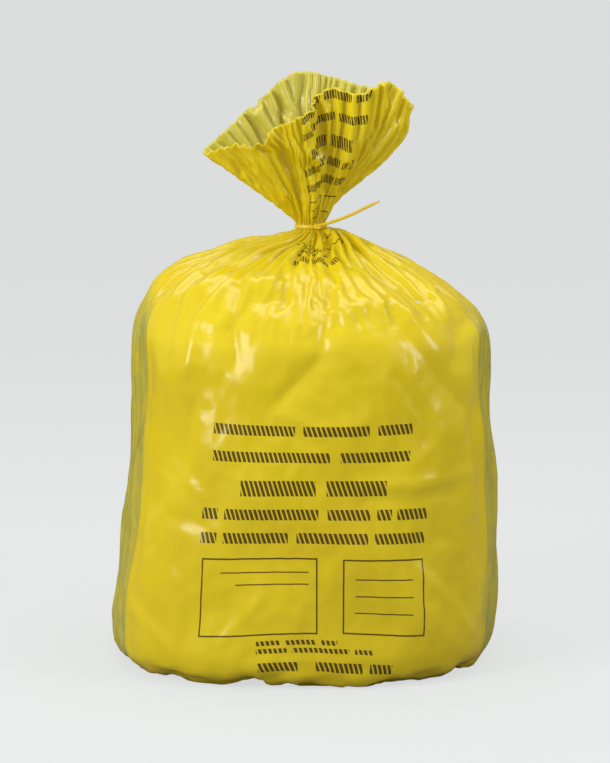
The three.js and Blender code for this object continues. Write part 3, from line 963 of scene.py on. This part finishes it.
def toothTree(material):
    # Ratchet teeth spaced along a line of edges, turned to follow it.
    tree = bpy.data.node_groups.new("ratchetTeeth", "GeometryNodeTree")
    for name, kind, default in (
        ("Geometry", "NodeSocketGeometry", None),
        ("Pitch", "NodeSocketFloat", tie["toothPitch"] * mm),
        ("Tooth", "NodeSocketVector", tuple(size * mm for size in tie["toothSize"])),
    ):
        socket = tree.interface.new_socket(name, in_out="INPUT", socket_type=kind)
        if default is not None:
            socket.default_value = default
    tree.interface.new_socket("Geometry", in_out="OUTPUT", socket_type="NodeSocketGeometry")
    given, result = tree.nodes.new("NodeGroupInput"), tree.nodes.new("NodeGroupOutput")
    curve = tree.nodes.new("GeometryNodeMeshToCurve")
    spaced = tree.nodes.new("GeometryNodeResampleCurve")
    spaced.mode = "LENGTH"
    tooth = tree.nodes.new("GeometryNodeMeshCube")
    tangent = tree.nodes.new("GeometryNodeInputTangent")
    turned = tree.nodes.new("FunctionNodeAlignRotationToVector")
    turned.axis, turned.pivot_axis = "X", "Z"
    placed = tree.nodes.new("GeometryNodeInstanceOnPoints")
    real = tree.nodes.new("GeometryNodeRealizeInstances")
    painted = tree.nodes.new("GeometryNodeSetMaterial")
    painted.inputs["Material"].default_value = material
    for source, target in (
        (given.outputs["Geometry"], curve.inputs["Mesh"]),
        (curve.outputs["Curve"], spaced.inputs["Curve"]),
        (given.outputs["Pitch"], spaced.inputs["Length"]),
        (given.outputs["Tooth"], tooth.inputs["Size"]),
        (tangent.outputs["Tangent"], turned.inputs["Vector"]),
        (spaced.outputs["Curve"], placed.inputs["Points"]),
        (tooth.outputs["Mesh"], placed.inputs["Instance"]),
        (turned.outputs["Rotation"], placed.inputs["Rotation"]),
        (placed.outputs["Instances"], real.inputs["Geometry"]),
        (real.outputs["Geometry"], painted.inputs["Geometry"]),
        (painted.outputs["Geometry"], result.inputs["Geometry"]),
    ):
        tree.links.new(source, target)
    return tree


def makeTie():
    material, tree, shader = newMaterial("tie")
    shader.inputs["Base Color"].default_value = tie["colour"]
    shader.inputs["Roughness"].default_value = 0.38
    turns = np.linspace(0, 2 * math.pi, tie["loopSteps"], endpoint=False)
    outward = np.stack([np.cos(turns), np.sin(turns), 0 * turns], axis=1)
    neck = np.array((body["neckX"], body["neckY"], body["neckHeight"]))
    loop = ribbon("tieLoop", neck + outward * tie["loopRadius"], outward, True, False)
    line = tailLine()
    along = np.gradient(line, axis=0)
    across = np.cross(along, (0, 0, 1.0))
    across /= np.linalg.norm(across, axis=1, keepdims=True)
    tail = ribbon("tieTail", line, across, False, True)
    toothed = line[4:-5] - across[4:-5] * (tie["strapThickness"] / 2 + 0.1)
    mesh = bpy.data.meshes.new("tieTeeth")
    mesh.from_pydata((toothed * mm).tolist(), [(k, k + 1) for k in range(len(toothed) - 1)], [])
    teeth = bpy.data.objects.new("tieTeeth", mesh)
    scene.collection.objects.link(teeth)
    modifier = teeth.modifiers.new("teeth", "NODES")
    modifier.node_group = toothTree(material)
    applyModifiers(teeth)
    for obj in (loop, tail, tieHead(), teeth):
        if not obj.data.materials:
            obj.data.materials.append(material)
        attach(obj, "root")
        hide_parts("cable_tie")


makeTie()
print("stage: tie done")


def areaLight(name, place, aim, size, power):
    data = bpy.data.lights.new(name, "AREA")
    data.shape = "RECTANGLE"
    data.size, data.size_y = size
    data.energy = power
    obj = bpy.data.objects.new(name, data)
    scene.collection.objects.link(obj)
    obj.location = place
    obj.rotation_euler = (Vector(aim) - Vector(place)).to_track_quat("-Z", "Y").to_euler()


def makeStage():
    mesh = bpy.data.meshes.new("floor")
    shape = bmesh.new()
    bmesh.ops.create_grid(shape, x_segments=1, y_segments=1, size=2000)
    shape.to_mesh(mesh)
    floor = bpy.data.objects.new("floor", mesh)
    scene.collection.objects.link(floor)
    paint, tree, shader = newMaterial("floorPaint")
    shader.inputs["Base Color"].default_value = (0.68, 0.7, 0.69, 1)
    shader.inputs["Roughness"].default_value = 0.9
    shader.inputs["Specular IOR Level"].default_value = 0.1
    # The camera sees a pale floor, while a dimmer one lights the sack from below.
    shown = addNode(tree, "ShaderNodeEmission")
    shown.inputs["Color"].default_value = (0.8, 0.82, 0.815, 1)
    dim = addNode(tree, "ShaderNodeBsdfDiffuse")
    dim.inputs["Color"].default_value = (0.3, 0.3, 0.28, 1)
    pale, either = addNode(tree, "ShaderNodeMixShader"), addNode(tree, "ShaderNodeMixShader")
    pale.inputs[0].default_value = 0.8
    output = next(node for node in tree.nodes if node.type == "OUTPUT_MATERIAL")
    for source, target in (
        (shader.outputs[0], pale.inputs[1]),
        (shown.outputs[0], pale.inputs[2]),
        (addNode(tree, "ShaderNodeLightPath").outputs["Is Camera Ray"], either.inputs[0]),
        (dim.outputs[0], either.inputs[1]),
        (pale.outputs[0], either.inputs[2]),
        (either.outputs[0], output.inputs["Surface"]),
    ):
        tree.links.new(source, target)
    mesh.materials.append(paint)
    world = bpy.data.worlds.new("studio")
    world.use_nodes = True
    tree = world.node_tree
    sky = tree.nodes["Background"]
    sky.inputs["Color"].default_value = (0.8, 0.82, 0.815, 1)
    sky.inputs["Strength"].default_value = 0.6
    behind = addNode(tree, "ShaderNodeBackground")
    behind.inputs["Color"].default_value = (0.79, 0.81, 0.805, 1)
    either = addNode(tree, "ShaderNodeMixShader")
    tree.links.new(addNode(tree, "ShaderNodeLightPath").outputs["Is Camera Ray"], either.inputs[0])
    tree.links.new(sky.outputs[0], either.inputs[1])
    tree.links.new(behind.outputs[0], either.inputs[2])
    output = next(node for node in tree.nodes if node.type == "OUTPUT_WORLD")
    tree.links.new(either.outputs[0], output.inputs["Surface"])
    scene.world = world


# Each light's place, what it faces, its size, all in metres, and its power in watts.
lights = {
    "keyLeft": ((-1.8, -1.5, 1.4), (0, 0, 0.3), (1.2, 1.9), 50),
    "keyRight": ((1.8, -0.9, 1.3), (0, 0, 0.35), (0.5, 1.5), 17),
    "topPanel": ((0.1, 0.2, 2.0), (0, 0, 0.4), (2.0, 0.9), 17),
}
makeStage()
for name, (place, aim, size, power) in lights.items():
    areaLight(name, place, aim, size, power)

cameraView = {"distance": 3.0, "elevation": 8.0, "aimHeight": 0.299, "frameHeight": 0.839}
camera = bpy.data.objects.new("camera", bpy.data.cameras.new("camera"))
scene.collection.objects.link(camera)
tilt = math.radians(cameraView["elevation"])
camera.location = (
    0,
    -cameraView["distance"] * math.cos(tilt),
    cameraView["aimHeight"] + cameraView["distance"] * math.sin(tilt),
)
camera.rotation_euler = (math.pi / 2 - tilt, 0, 0)
camera.data.sensor_fit = "VERTICAL"
camera.data.sensor_height = 24
camera.data.lens = 12 / (cameraView["frameHeight"] / 2 / cameraView["distance"])
scene.camera = camera
scene.view_settings.view_transform = "Standard"

print("stage: camera and sizes done")
